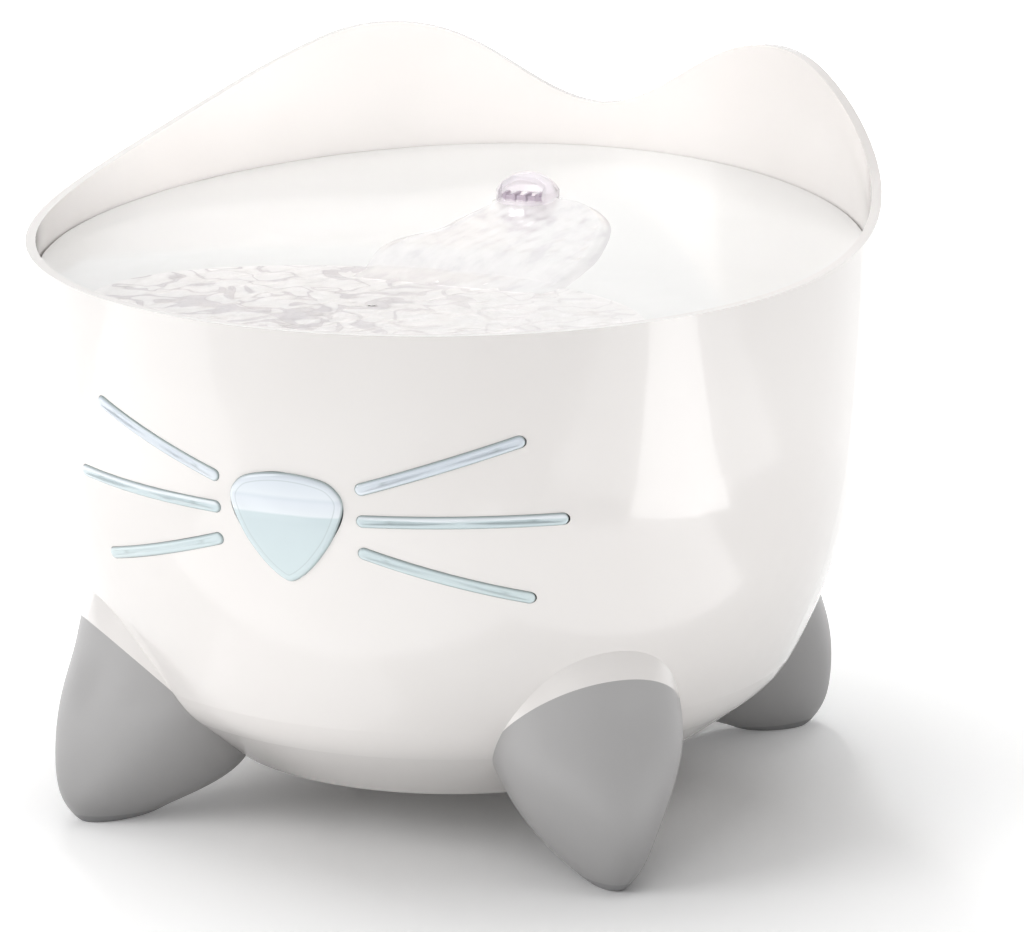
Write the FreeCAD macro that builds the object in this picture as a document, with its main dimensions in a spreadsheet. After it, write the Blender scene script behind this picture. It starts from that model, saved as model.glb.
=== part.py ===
import FreeCAD, Part
import math
import os
import Sketcher

# Pet water fountain: a bowl with cat ears on four feet, a pump in the bowl, a filter over it,
# and a sloping drinking dish with a small spout.
# Millimetres. The origin is on the surface it stands on, at the bowl's axis.
# +Z is up and the face with the nose looks along -Y.

# Driving dimensions.
SIZES = {
    # bowl
    "bowl_radius": 110.0,
    "bowl_wall": 2.6,
    "bowl_base_height": 14.0,
    "upright_height": 156.3,
    "upper_arc_radius": 697.0,
    "upper_arc_turn": 4.41,
    "side_arc_radius": 174.0,
    "side_arc_turn": 26.36,
    "belly_arc_radius": 25.5,
    "belly_arc_turn": 52.65,
    # rim and ears
    "rim_front_height": 143.2,
    "rim_rear_rise": 6.9,
    "ear_rise": 33.6,
    "ear_angle": 146.4,
    "ear_outer_spread": 33.7,
    "ear_inner_spread": 27.1,
    # ledge that carries the dish
    "ledge_drop": 16.2,
    "ledge_width": 8.5,
    "ledge_edge": 2.4,
    "ledge_depth": 5.2,
    # legs and feet
    "seam_inset": 9.5,
    "seam_height": 52.5,
    "seam_slope": 45.0,
    "seam_foot": 36.0,
    "pad_thickness": 2.4,
    "peg_radius": 5.0,
    "peg_inset": 26.0,
    "peg_bottom": 14.0,
    # windows
    "window_proud": 0.4,
    "flange_thickness": 1.6,
    "flange_overlap": 1.3,
    "gasket_thickness": 1.0,
    "whisker_width": 3.2,
    # cord hole
    "cord_gap_width": 17.0,
    "grommet_rise": 7.0,
    "grommet_hole_radius": 5.0,
    "grommet_bore_radius": 2.6,
    "grommet_lip": 1.8,
    "grommet_flange": 0.8,
    # drinking dish
    "dish_wall": 2.4,
    "dish_front_rise": 10.3,
    "dish_slope_rise": 12.4,
    "dish_slope_power": 2.2,
    "hollow_depth": 11.0,
    "hollow_inset": 58.0,
    "hollow_side_inset": 28.0,
    "hollow_half_length": 57.0,
    "skirt_wall": 2.2,
    "drain_inset": 12.0,
    "drain_width": 3.2,
    "drain_turn": 9.0,
    "drain_pitch": 14.0,
    # water path
    "spout_inset": 57.0,
    "spout_seat_sink": 0.3,
    "spout_seat_radius": 9.6,
    "spout_radius": 8.5,
    "spout_height": 8.6,
    "spout_shoulder_rise": 3.6,
    "spout_wall": 1.4,
    "spout_mouth_width": 12.4,
    "spout_mouth_height": 5.8,
    "vane_thickness": 0.8,
    "vane_depth": 5.0,
    "stem_radius": 6.0,
    "stem_wall": 1.2,
    "stem_length": 11.6,
    "collar_radius": 8.4,
    "collar_length": 19.4,
    "riser_radius": 4.9,
    "riser_wall": 1.2,
    "riser_end_gap": 0.8,
    "riser_seal_height": 5.0,
    "ring_thickness": 0.6,
    # filter
    "filter_radius": 42.0,
    "basket_wall": 1.6,
    "basket_lift": 7.0,
    "hub_wall": 1.6,
    "hub_gap": 1.2,
    "filter_pad_thickness": 7.0,
    "filter_core_thickness": 9.0,
    "lid_thickness": 1.8,
    # pump
    "pump_width": 36.0,
    "pump_height": 36.0,
    "pump_bottom": 26.0,
    "pump_rear_length": 36.0,
    "pump_corner": 6.0,
    "chamber_radius": 13.0,
    "chamber_depth": 12.0,
    "outlet_bore_radius": 2.7,
    "outlet_height": 9.0,
    "outlet_inset": 4.0,
    "slot_width": 2.2,
    "inlet_place": 7.0,
    "inlet_radius": 1.8,
    "well_radius": 8.0,
    "well_wall": 1.2,
    "well_depth": 22.0,
    "core_length": 14.0,
    "coil_width": 16.0,
    "coil_wall": 3.0,
    "yoke_height": 3.0,
    "gland_radius": 4.0,
    "gland_bore": 2.0,
    "hub_step": 1.5,
    "end_gap": 0.8,
    "casing_wall": 2.4,
    "potting_thickness": 3.0,
    "cover_length": 8.0,
    "cover_wall": 1.6,
    "cover_step": 1.0,
    "volute_cover_thickness": 1.8,
    "shaft_radius": 1.0,
    "bush_radius": 2.6,
    "bush_length": 3.0,
    "hub_radius": 4.0,
    "blade_thickness": 1.2,
    "blade_radius": 11.0,
    "blade_height": 7.0,
    "rotor_radius": 7.4,
    "rotor_length": 20.0,
    "cup_radius": 4.5,
    "cup_pitch": 18.0,
    "cup_front_inset": 6.0,
    "cup_rear_inset": 12.0,
    "cup_shift": 3.0,
    # fits
    "fit_gap": 0.3,
    "snug_gap": 0.1,
    "running_gap": 0.08,
}

EAR_OUTER_POWER = 1.57
EAR_INNER_POWER = 2.64
RIM_POINTS = 48
DISH_STEPS = 20
DRAINS = 5
VANES = 4
FILTER_SLOTS = 16
INLETS = 5
BLADES = 6
GRILLE_SLOTS = 6
LEG_ANGLES = {"front_right": -45.0, "front_left": -135.0, "rear_left": 135.0, "rear_right": 45.0}

# Leg form, bottom to top: height, inner and outer edge inwards of the bowl's radius, half width.
LEG_SECTIONS = [
    (0.0, 16.0, 6.4, 3.4),
    (2.4, 29.5, 3.4, 6.8),
    (6.8, 41.0, 0.8, 10.8),
    (12.7, 50.0, -0.3, 15.0),
    (22.0, 52.0, 0.2, 20.4),
    (34.0, 52.0, 3.0, 24.6),
    (44.0, 50.0, 6.4, 24.3),
    (54.0, 45.0, 8.8, 22.2),
    (58.0, 44.0, 10.0, 21.4),
    (62.0, 44.0, 11.5, 21.0),
    (66.0, 44.0, 13.8, 20.0),
]

# How far forms for cutting reach past what they cut.
CLEAR = 10.0

# Nose outline, right half, from the top middle to the bottom tip: across, height.
NOSE_HALF = [
    (0.0, 108.0),
    (7.5, 107.2),
    (12.4, 105.2),
    (14.85, 100.5),
    (12.0, 92.3),
    (8.0, 86.3),
    (4.9, 82.9),
    (2.1, 80.7),
    (0.0, 79.9),
]

# Whiskers: three points on each middle line, across and height.
WHISKERS = [
    [(19.4, 105.1), (38.2, 111.1), (57.5, 117.2)],
    [(19.45, 97.0), (42.0, 97.2), (67.4, 97.3)],
    [(19.35, 88.7), (37.2, 83.0), (57.9, 77.2)],
]

doc = FreeCAD.newDocument("fountain")
sheet = doc.addObject("Spreadsheet::Sheet", "Sizes")
size = {}
parts = []


def add_size(alias, number):
    row = len(size) + 1
    sheet.set("A%d" % row, alias)
    sheet.set("B%d" % row, repr(float(number)))
    sheet.setAlias("B%d" % row, alias)
    size[alias] = float(number)


def term_value(term):
    product = 1.0
    for factor in term.split("*"):
        product *= size[factor] if factor in size else float(factor)
    return product


def value(formula):
    """Number of a sum such as 'pump_bottom + 0.5*pump_height'."""
    total = 0.0
    sign = 1.0
    for word in formula.split():
        if word == "+":
            sign = 1.0
        elif word == "-":
            sign = -1.0
        else:
            total += sign * term_value(word)
    return total


def bound(formula):
    """The same sum as an expression that reads the sheet."""
    words = []
    for word in formula.split():
        factors = ["Sizes." + factor if factor in size else factor for factor in word.split("*")]
        words.append(" * ".join(factors))
    return " ".join(words)


def bind(item, name, formula):
    item.setExpression(name, bound(formula))


def place(item, x="0", y="0", z="0", axis=None, turn=0.0):
    rotation = FreeCAD.Rotation(axis, turn) if axis else FreeCAD.Rotation()
    item.Placement = FreeCAD.Placement(FreeCAD.Vector(value(x), value(y), value(z)), rotation)
    for coordinate, formula in (("x", x), ("y", y), ("z", z)):
        bind(item, "Placement.Base." + coordinate, formula)
    return item


def named(item, label, is_part=True):
    item.Label = label
    if is_part:
        parts.append(item)
    return item


# Sketches and bodies

def arc_between(start, end, radius, side):
    """Arc from start to end that bulges to the right of the run when side is 1."""
    chord = end.sub(start)
    half = chord.Length / 2.0
    reach = math.sqrt(max(radius * radius - half * half, 0.0))
    left = FreeCAD.Vector(-chord.y, chord.x, 0).normalize()
    centre = start.add(chord * 0.5).add(left * (side * reach))
    middle = centre.sub(left * (side * radius))
    return Part.Arc(start, middle, end)


def new_sketch(body, role):
    sketch = body.newObject("Sketcher::SketchObject", "Sketch")
    plane = [feature for feature in body.Origin.OriginFeatures if feature.Role == role][0]
    sketch.AttachmentSupport = [(plane, "")]
    sketch.MapMode = "FlatFace"
    return sketch


def pin_point(sketch, geometry, vertex, across, up):
    for kind, axis, formula in (("DistanceX", -2, across), ("DistanceY", -1, up)):
        if formula == "0":
            sketch.addConstraint(Sketcher.Constraint("PointOnObject", geometry, vertex, axis))
            continue
        index = sketch.addConstraint(
            Sketcher.Constraint(kind, -1, 1, geometry, vertex, value(formula)))
        sketch.setExpression("Constraints[%d]" % index, bound(formula))


def draw_outline(sketch, corners):
    """Closed outline. A corner is (across, up) or (across, up, radius, side) for an arc after it."""
    points = [FreeCAD.Vector(value(corner[0]), value(corner[1]), 0) for corner in corners]
    ends = []
    for index, corner in enumerate(corners):
        start = points[index]
        end = points[(index + 1) % len(points)]
        if len(corner) == 2:
            geometry = sketch.addGeometry(Part.LineSegment(start, end))
            ends.append((geometry, 1, 2))
            continue
        radius = value(corner[2])
        geometry = sketch.addGeometry(arc_between(start, end, radius, corner[3]))
        first = sketch.getPoint(geometry, 1)
        forward = first.sub(start).Length < first.sub(end).Length
        ends.append((geometry, 1, 2) if forward else (geometry, 2, 1))
        number = sketch.addConstraint(Sketcher.Constraint("Radius", geometry, radius))
        sketch.setExpression("Constraints[%d]" % number, bound(corner[2]))
    for index, corner in enumerate(corners):
        geometry, start_vertex, end_vertex = ends[index]
        after, after_start, after_end = ends[(index + 1) % len(ends)]
        sketch.addConstraint(
            Sketcher.Constraint("Coincident", geometry, end_vertex, after, after_start))
        pin_point(sketch, geometry, start_vertex, corner[0], corner[1])


def turned(label, corners, is_part=True, **where):
    """Body turned about its own Z axis from corners given as radius and height."""
    body = doc.addObject("PartDesign::Body", label)
    sketch = new_sketch(body, "XZ_Plane")
    draw_outline(sketch, corners)
    revolution = body.newObject("PartDesign::Revolution", "Revolution")
    revolution.Profile = sketch
    revolution.ReferenceAxis = (sketch, ["V_Axis"])
    revolution.Angle = 360.0
    sketch.Visibility = False
    place(body, **where)
    return named(body, label, is_part)


def ring(label, inner, outer, bottom, top, is_part=True, **where):
    corners = [(inner, bottom), (outer, bottom), (outer, top), (inner, top)]
    return turned(label, corners, is_part, **where)


def padded(label, corners, length, role="XY_Plane", is_part=True, **where):
    """Body padded from a closed outline."""
    body = doc.addObject("PartDesign::Body", label)
    sketch = new_sketch(body, role)
    draw_outline(sketch, corners)
    pad = body.newObject("PartDesign::Pad", "Pad")
    pad.Profile = sketch
    pad.Length = value(length)
    bind(pad, "Length", length)
    place(body, **where)
    return named(body, label, is_part)


# Primitives and booleans

def cylinder(label, radius, height, axis=None, turn=0.0, x="0", y="0", z="0"):
    item = doc.addObject("Part::Cylinder", label)
    item.Radius = value(radius)
    item.Height = value(height)
    bind(item, "Radius", radius)
    bind(item, "Height", height)
    return place(item, x, y, z, axis, turn)


def cone(label, radius_low, radius_high, height, **where):
    item = doc.addObject("Part::Cone", label)
    for name, formula in (("Radius1", radius_low), ("Radius2", radius_high), ("Height", height)):
        setattr(item, name, value(formula))
        bind(item, name, formula)
    return place(item, **where)


def block(label, length, width, height, x="0", y="0", z="0"):
    item = doc.addObject("Part::Box", label)
    for name, formula in (("Length", length), ("Width", width), ("Height", height)):
        setattr(item, name, value(formula))
        bind(item, name, formula)
    return place(item, x, y, z)


def fused(label, items, is_part=False):
    item = doc.addObject("Part::MultiFuse", label)
    item.Shapes = items
    item.Refine = True
    return named(item, label, is_part)


def cut(label, base, tools, is_part=False):
    tool = tools[0] if len(tools) == 1 else fused(label + "_tools", tools)
    item = doc.addObject("Part::Cut", label)
    item.Base = base
    item.Tool = tool
    return named(item, label, is_part)


def common(label, items, is_part=False):
    item = doc.addObject("Part::MultiCommon", label)
    item.Shapes = items
    return named(item, label, is_part)


def shaped(label, shape, is_part=False):
    item = doc.addObject("Part::Feature", label)
    item.Shape = shape
    item.Placement = FreeCAD.Placement()
    return named(item, label, is_part)


X_AXIS = FreeCAD.Vector(1, 0, 0)
Y_AXIS = FreeCAD.Vector(0, 1, 0)
Z_AXIS = FreeCAD.Vector(0, 0, 1)


# Bowl

def bowl_form_sizes(name, offset):
    """Corner places of the bowl's side outline, moved outwards by offset."""
    radii = [size["upper_arc_radius"], size["side_arc_radius"], size["belly_arc_radius"]]
    turns = [0.0, size["upper_arc_turn"], size["side_arc_turn"], size["belly_arc_turn"]]
    across = size["bowl_radius"] - radii[0]
    up = size["upright_height"]
    add_size(name + "_r0", across + radii[0] + offset)
    for index, radius in enumerate(radii):
        if index:
            start = math.radians(turns[index])
            across += (radii[index - 1] - radius) * math.cos(start)
            up -= (radii[index - 1] - radius) * math.sin(start)
        end = math.radians(turns[index + 1])
        add_size("%s_r%d" % (name, index + 1), across + (radius + offset) * math.cos(end))
        add_size("%s_z%d" % (name, index + 1), up - (radius + offset) * math.sin(end))
        add_size("%s_arc%d" % (name, index + 1), radius + offset)
    slope = math.radians(size["belly_arc_turn"])
    base = size["bowl_base_height"] - offset
    drop = size[name + "_z3"] - base
    add_size(name + "_base", base)
    add_size(name + "_base_radius", size[name + "_r3"] - drop * math.tan(slope))


def bowl_form(name, top="form_top"):
    corners = [
        ("0", name + "_base"),
        (name + "_base_radius", name + "_base"),
        (name + "_r3", name + "_z3", name + "_arc3", 1),
        (name + "_r2", name + "_z2", name + "_arc2", 1),
        (name + "_r1", name + "_z1", name + "_arc1", 1),
        (name + "_r0", "upright_height"),
        (name + "_r0", top),
        ("0", top),
    ]
    return turned(name + "_form", corners, is_part=False)


def inside_radius(height):
    """Radius of the bowl's inner wall at a height on its upper arc."""
    radius = size["upper_arc_radius"] - size["bowl_wall"]
    drop = max(size["upright_height"] - height, 0.0)
    return size["bowl_radius"] - size["upper_arc_radius"] + math.sqrt(radius ** 2 - drop ** 2)


def ear_shape(turn):
    away = turn - size["ear_angle"]
    if away < 0:
        return math.exp(-(-away / size["ear_outer_spread"]) ** EAR_OUTER_POWER)
    return math.exp(-(away / size["ear_inner_spread"]) ** EAR_INNER_POWER)


def rim_height(turn):
    """Rim height at an angle in degrees from the front."""
    slope = size["rim_rear_rise"] * (1.0 - math.cos(math.radians(turn))) / 2.0
    ears = size["ear_rise"] * (ear_shape(turn) + ear_shape(360.0 - turn))
    return size["rim_front_height"] + slope + ears


def rim_curve(radius):
    points = []
    for index in range(RIM_POINTS):
        turn = 360.0 * index / RIM_POINTS
        angle = math.radians(turn)
        points.append(FreeCAD.Vector(radius * math.sin(angle), -radius * math.cos(angle),
                                     rim_height(turn)))
    curve = Part.BSplineCurve()
    curve.interpolate(points, PeriodicFlag=True)
    return curve.toShape()


def rim_cutter():
    """Everything above the rim line, which is level along each radius."""
    inner = rim_curve(size["bowl_radius"] - size["ledge_width"] - CLEAR)
    outer = rim_curve(size["bowl_radius"] + CLEAR)
    band = Part.makeRuledSurface(inner, outer)
    return shaped("above_rim", band.extrude(FreeCAD.Vector(0, 0, size["form_top"])))


def wide_block(bottom, height):
    """A block wider than the bowl, to cut pieces off at a height."""
    reach = 2.0 * (size["bowl_radius"] + CLEAR)
    return Part.makeBox(2.0 * reach, 2.0 * reach, height, FreeCAD.Vector(-reach, -reach, bottom))


def leg_section(height, inner_inset, outer_inset, half_width):
    length = (inner_inset - outer_inset) / 2.0
    centre = FreeCAD.Vector(size["bowl_radius"] - (outer_inset + inner_inset) / 2.0, 0, height)
    if length >= half_width:
        ellipse = Part.Ellipse(centre.add(FreeCAD.Vector(length, 0, 0)),
                               centre.add(FreeCAD.Vector(0, half_width, 0)), centre)
    else:
        ellipse = Part.Ellipse(centre.add(FreeCAD.Vector(0, half_width, 0)),
                               centre.add(FreeCAD.Vector(-length, 0, 0)), centre)
    return Part.Wire(ellipse.toShape())


def leg_form():
    """The whole leg, foot and fairing, along +X before it is turned to its corner."""
    wires = [leg_section(*section) for section in LEG_SECTIONS]
    loft = Part.makeLoft(wires, True, False)
    return loft.common(wide_block(0.0, size["form_top"]))


def turned_leg(shape, angle):
    copy = shape.copy()
    copy.rotate(FreeCAD.Vector(0, 0, 0), Z_AXIS, angle)
    return copy


def seam_half_space():
    """A large block above the seam plane between the white fairing and the grey foot."""
    reach = 2.0 * size["form_top"]
    solid = wide_block(0.0, reach)
    solid.rotate(FreeCAD.Vector(0, 0, 0), Y_AXIS, -size["seam_slope"])
    solid.translate(FreeCAD.Vector(size["bowl_radius"] - size["seam_inset"], 0,
                                   size["seam_height"]))
    return solid.common(wide_block(size["seam_foot"], reach))


def leg_pieces():
    """Fairings, feet and pads, before the bowl is cut from them."""
    leg = leg_form()
    upper = seam_half_space()
    fairing = leg.common(upper)
    lower = leg.cut(upper)
    pad_space = wide_block(0.0, size["pad_thickness"])
    pad = lower.common(pad_space)
    foot = lower.cut(pad_space)
    return fairing, foot, pad


def pegs(extra_radius, extra_depth):
    shapes = []
    for angle in LEG_ANGLES.values():
        direction = math.radians(angle)
        bottom = size["peg_bottom"] - extra_depth
        reach = size["bowl_radius"] - size["peg_inset"]
        point = FreeCAD.Vector(reach * math.cos(direction), reach * math.sin(direction), bottom)
        height = size["outer_z3"] - bottom
        shapes.append(Part.makeCylinder(size["peg_radius"] + extra_radius, height, point))
    return shapes


# Windows

def on_front(across, height):
    """Point in front of the bowl for a place measured round its front."""
    angle = across / size["bowl_radius"]
    return FreeCAD.Vector(size["bowl_radius"] * math.sin(angle), 0, height)


def nose_wire(grow):
    """The nose outline, each point moved outwards, square to its neighbours, by grow."""
    points = [on_front(across, height) for across, height in NOSE_HALF]
    points += [on_front(-across, height) for across, height in reversed(NOSE_HALF[1:-1])]
    moved = []
    for index, point in enumerate(points):
        along = points[(index + 1) % len(points)].sub(points[index - 1]).normalize()
        outwards = FreeCAD.Vector(-along.z, 0, along.x)
        moved.append(point.add(outwards * grow))
    curve = Part.BSplineCurve()
    curve.interpolate(moved, PeriodicFlag=True)
    return Part.Wire(curve.toShape())


def whisker_wire(line, side, grow):
    points = [on_front(side * across, height) for across, height in line]
    middle = Part.Arc(points[0], points[1], points[2]).toShape()
    return Part.Wire(middle).makeOffset2D(size["whisker_width"] / 2.0 + grow)


def through_front(wire):
    """The outline as a bar that runs in through the front wall."""
    face = Part.Face(wire)
    face.translate(FreeCAD.Vector(0, -size["bowl_radius"] - CLEAR, 0))
    return face.extrude(FreeCAD.Vector(0, size["bowl_radius"] * 0.75, 0))


def make_sizes():
    for alias, number in SIZES.items():
        add_size(alias, number)
    add_size("form_top", value("rim_front_height + rim_rear_rise + ear_rise") + 2.0 * CLEAR)
    add_size("ledge_height", value("rim_front_height - ledge_drop"))
    add_size("ledge_inner_radius", value("bowl_radius - ledge_width"))
    add_size("grommet_height", value("ledge_height + grommet_rise"))
    add_size("dish_front_height", value("ledge_height + dish_front_rise"))
    add_size("dish_rear_height", value("dish_front_height + dish_slope_rise"))
    add_size("hollow_place", value("hollow_inset - bowl_radius"))
    add_size("hollow_half_width", value("bowl_radius - hollow_side_inset"))
    add_size("drain_radius", value("bowl_radius - drain_inset"))
    add_size("spout_place", value("bowl_radius - spout_inset"))
    add_size("spout_seat_height", dish_height(0.0, size["spout_place"]) - size["spout_seat_sink"])
    add_size("spout_top", value("spout_seat_height + spout_height"))
    add_size("spout_shoulder", value("spout_seat_height + spout_shoulder_rise"))
    add_size("stem_bottom", value("spout_seat_height - stem_length"))
    add_size("collar_bottom", value("spout_seat_height - collar_length"))
    add_size("riser_top", value("stem_bottom - riser_end_gap"))
    add_size("basket_floor_height", value("pump_bottom + pump_height + basket_lift"))
    wall = size["bowl_wall"]
    gasket = wall + size["gasket_thickness"]
    bowl_form_sizes("outer", 0.0)
    bowl_form_sizes("cavity", -wall)
    bowl_form_sizes("pane", size["window_proud"])
    bowl_form_sizes("gasket", -gasket)
    bowl_form_sizes("flange", -gasket - size["flange_thickness"])
    add_size("dish_bottom_radius", inside_radius(size["ledge_height"]) - size["fit_gap"])
    add_size("dish_top", size["dish_rear_height"] + 2.0)
    add_size("dish_top_radius", inside_radius(size["dish_top"]) - size["fit_gap"])
    add_size("pump_axis_height", size["pump_bottom"] + size["pump_height"] / 2.0)
    add_size("pump_top", size["pump_bottom"] + size["pump_height"])
    add_size("pump_axis_place", size["spout_place"] - size["chamber_radius"] + size["outlet_inset"])
    add_size("pump_front", size["chamber_depth"] / 2.0)
    add_size("basket_top", value("basket_floor_height + basket_wall + filter_pad_thickness"
                                 " + filter_core_thickness"))
    add_size("cap_space_step", value("cover_step + cover_wall"))
    add_size("foam_step", value("cover_step + cover_wall + snug_gap"))
    add_size("hub_inner", value("riser_radius + hub_gap"))
    add_size("hub_outer", value("hub_inner + hub_wall"))
    add_size("hood_bottom", value("spout_seat_height + ring_thickness"))
    add_size("dome_outer", dome_radius(size["spout_radius"], value("spout_top - spout_shoulder")))
    add_size("dome_inner", dome_radius(value("spout_radius - spout_wall"),
                                       value("spout_top - spout_wall - spout_shoulder")))
    doc.recompute()
    for alias in size:
        size[alias] = float(sheet.get(alias))


def dome_radius(half_width, rise):
    """Radius of the arc from the edge of a dome to its top, centred on its axis."""
    return (half_width ** 2 + rise ** 2) / (2.0 * rise)


def make_ledge():
    corners = [
        ("ledge_inner_radius", "ledge_height"),
        ("ledge_inner_radius", "ledge_height - ledge_edge"),
        ("dish_bottom_radius + 0.5*bowl_wall", "ledge_height - ledge_depth"),
        ("dish_bottom_radius + 0.5*bowl_wall", "ledge_height"),
    ]
    ledge = turned("ledge_ring", corners, is_part=False)
    gap = block("cord_gap", "cord_gap_width", "bowl_radius", "2*ledge_depth",
                "0 - 0.5*cord_gap_width", "ledge_inner_radius - 2", "ledge_height - 1.5*ledge_depth")
    clear = cut("ledge_gap_form", gap, [turned("wall_side", [
        ("dish_bottom_radius + fit_gap", "0"),
        ("2*bowl_radius", "0"),
        ("2*bowl_radius", "form_top"),
        ("dish_bottom_radius + fit_gap", "form_top"),
    ], is_part=False)])
    return cut("ledge", ledge, [clear])


def make_bowl(forms, windows, leg_shapes):
    fairing = leg_shapes[0]
    fairings = shaped("fairings", Part.Compound(
        [turned_leg(fairing, angle) for angle in LEG_ANGLES.values()]))
    peg_group = shaped("pegs", Part.Compound(pegs(0.0, 0.0)))
    block_form = fused("bowl_block", [forms["outer"], fairings, peg_group])
    shell = cut("bowl_shell", block_form, [forms["cavity"]])
    with_ledge = fused("bowl_with_ledge", [shell, make_ledge()])
    slots = shaped("window_slots", Part.Compound([through_front(wire) for wire in windows]))
    cord_hole = cylinder("cord_hole", "grommet_hole_radius", "2*bowl_wall + 20", X_AXIS, -90.0,
                         y="bowl_radius - 10", z="grommet_height")
    return cut("reservoir_bowl", with_ledge, [rim_cutter(), slots, cord_hole], is_part=True)


def make_feet(forms, leg_shapes):
    foot, pad = leg_shapes[1:]
    outer = forms["outer"].Shape
    sockets = Part.Compound(pegs(size["snug_gap"], size["fit_gap"]))
    pads = []
    for name, angle in LEG_ANGLES.items():
        shape = turned_leg(foot, angle).cut(outer).cut(sockets)
        shaped("foot_" + name, shape, is_part=True)
        pads.append(turned_leg(pad, angle))
    shaped("foot_pads", Part.Compound(pads), is_part=True)


def make_windows(forms):
    solid = {name: form.Shape for name, form in forms.items()}
    grow = size["flange_overlap"]
    groups = {
        "nose_window": [[nose_wire(0.0)], [nose_wire(grow)]],
        "whisker_windows_right": [[whisker_wire(line, 1, 0.0) for line in WHISKERS],
                                  [whisker_wire(line, 1, grow) for line in WHISKERS]],
        "whisker_windows_left": [[whisker_wire(line, -1, 0.0) for line in WHISKERS],
                                 [whisker_wire(line, -1, grow) for line in WHISKERS]],
    }
    seals = []
    openings = []
    for label, (wires, flange_wires) in groups.items():
        pieces = []
        for wire, flange_wire in zip(wires, flange_wires):
            plug = through_front(wire)
            back = through_front(flange_wire)
            body = plug.common(solid["pane"]).cut(solid["flange"])
            flange = back.common(solid["gasket"]).cut(solid["flange"])
            pieces.append(body.fuse(flange).removeSplitter())
            seals.append(back.cut(plug).common(solid["cavity"]).cut(solid["gasket"]))
            openings.append(wire)
        shape = pieces[0] if len(pieces) == 1 else Part.Compound(pieces)
        shaped(label, shape, is_part=True)
    shaped("window_gasket", Part.Compound(seals), is_part=True)
    return openings


def make_grommet(forms):
    """Rubber spool in the wall's hole, with a lip on each side of the wall."""
    start = "bowl_radius - bowl_wall - grommet_flange"
    length = "bowl_wall + 2*grommet_flange"
    lips = cylinder("grommet_lips", "grommet_hole_radius + grommet_lip", length,
                    X_AXIS, -90.0, y=start, z="grommet_height")
    neck = cylinder("grommet_neck", "grommet_hole_radius", length,
                    X_AXIS, -90.0, y=start, z="grommet_height")
    bore = cylinder("grommet_bore", "grommet_bore_radius", "3*bowl_wall + 4*grommet_flange",
                    X_AXIS, -90.0, y="bowl_radius - 2*bowl_wall - 2*grommet_flange",
                    z="grommet_height")
    wall = cut("grommet_wall", forms["outer"], [forms["cavity"]])
    open_lips = cut("grommet_open_lips", lips, [wall])
    spool = fused("grommet_spool", [open_lips, neck])
    cut("cord_grommet", spool, [bore], is_part=True)


# Drinking dish

def dish_height(across, along):
    """Height of the dish's top surface: a slope to the front with a hollow in it."""
    radius = size["bowl_radius"]
    share = max((along + radius) / (2.0 * radius), 0.0)
    rise = size["dish_rear_height"] - size["dish_front_height"]
    edge = size["dish_front_height"] + rise * share ** size["dish_slope_power"]
    away = (across / size["hollow_half_width"]) ** 2
    away += ((along - size["hollow_place"]) / size["hollow_half_length"]) ** 2
    return edge - size["hollow_depth"] * max(1.0 - away, 0.0) ** 2


def dish_surface():
    reach = size["bowl_radius"] + 4.0
    steps = DISH_STEPS
    rows = []
    for row in range(steps + 1):
        along = -reach + 2.0 * reach * row / steps
        places = [-reach + 2.0 * reach * column / steps for column in range(steps + 1)]
        rows.append([FreeCAD.Vector(across, along, dish_height(across, along))
                     for across in places])
    surface = Part.BSplineSurface()
    surface.interpolate(rows)
    return surface.toShape()


def drain_slot(turn):
    """One curved drain slot, centred at an angle from the front."""
    half = size["drain_turn"] / 2.0
    inner = size["drain_radius"] - size["drain_width"] / 2.0
    outer = size["drain_radius"] + size["drain_width"] / 2.0
    angles = [math.radians(turn + step - 90.0) for step in (-half, 0.0, half)]
    low = size["collar_bottom"]
    near = [FreeCAD.Vector(inner * math.cos(a), inner * math.sin(a), low) for a in angles]
    far = [FreeCAD.Vector(outer * math.cos(a), outer * math.sin(a), low) for a in angles]
    edges = [
        Part.Arc(near[0], near[1], near[2]).toShape(),
        Part.LineSegment(near[2], far[2]).toShape(),
        Part.Arc(far[2], far[1], far[0]).toShape(),
        Part.LineSegment(far[0], near[0]).toShape(),
    ]
    return Part.Face(Part.Wire(edges)).extrude(FreeCAD.Vector(0, 0, size["form_top"] - low))


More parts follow.
